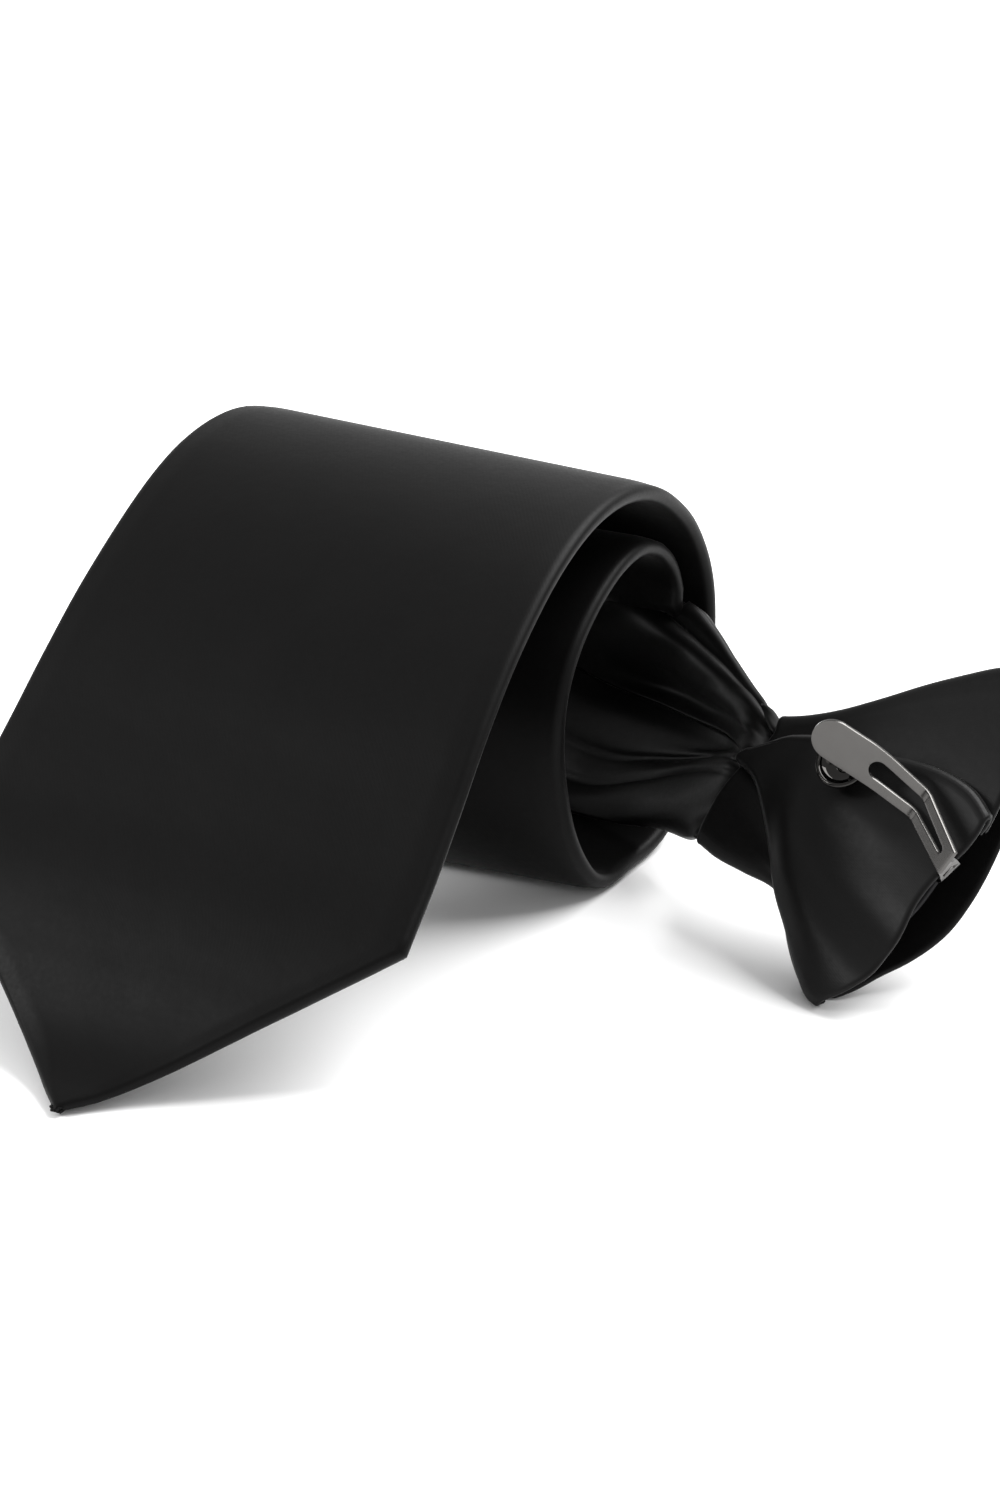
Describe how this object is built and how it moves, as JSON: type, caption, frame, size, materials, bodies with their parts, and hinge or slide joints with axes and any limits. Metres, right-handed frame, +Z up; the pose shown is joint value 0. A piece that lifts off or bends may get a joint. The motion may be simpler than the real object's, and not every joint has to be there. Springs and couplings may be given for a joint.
{
  "type": "clip-on necktie",
  "caption": "Rolled clip-on necktie with a pointed satin blade, gathered neck, pre-tied conical knot and a sprung collar clip behind the knot.",
  "frame": {"origin": "middle of the footprint, on the surface the rolled tie rests on", "axes": "+Z up; +X from the rolled blade towards the knot; -Y towards the blade tip"},
  "size_m": [0.1402, 0.1408, 0.0708],
  "materials": {
    "satin": "black satin weave, soft sheen",
    "interlining": "brushed wool-type canvas",
    "lining": "black twill lining",
    "thread": "black sewing thread",
    "former": "moulded, matte",
    "clip_steel": "black-nickel plated spring strip, satin",
    "button_nickel": "black-nickel plated, polished"
  },
  "bodies": {
    "rolled_blade": {"blade_shell": "satin", "blade_interlining": "interlining", "tip_lining": "lining", "seam_thread": "thread", "bar_tack": "thread", "neck_gathers": "satin"},
    "knot": {"knot_wrap": "satin", "knot_interlining": "interlining", "knot_former": "former", "flap_stitches": "thread", "gather_thread": "thread", "clip_inner_leg": "clip_steel", "clip_button": "button_nickel", "rivet_post": "clip_steel", "rivet_washer": "clip_steel"},
    "clip": {"clip_arm": "clip_steel"}
  },
  "joints": [
    {"name": "knot_tilt", "type": "hinge", "parent": "rolled_blade", "child": "knot", "pos_m": [0.01388, 0.04189, 0.026], "axis": [-0.2359, -0.9718, 0], "range_deg": [0, 25], "deforming": ["neck_gathers"]},
    {"name": "clip_open", "type": "hinge", "parent": "knot", "child": "clip", "pos_m": [0.06644, 0.01857, 0.02355], "axis": [0.516, -0.033, 0.856], "range_deg": [0, 12], "stiffness_Nm_per_rad": 0.65}
  ]
}
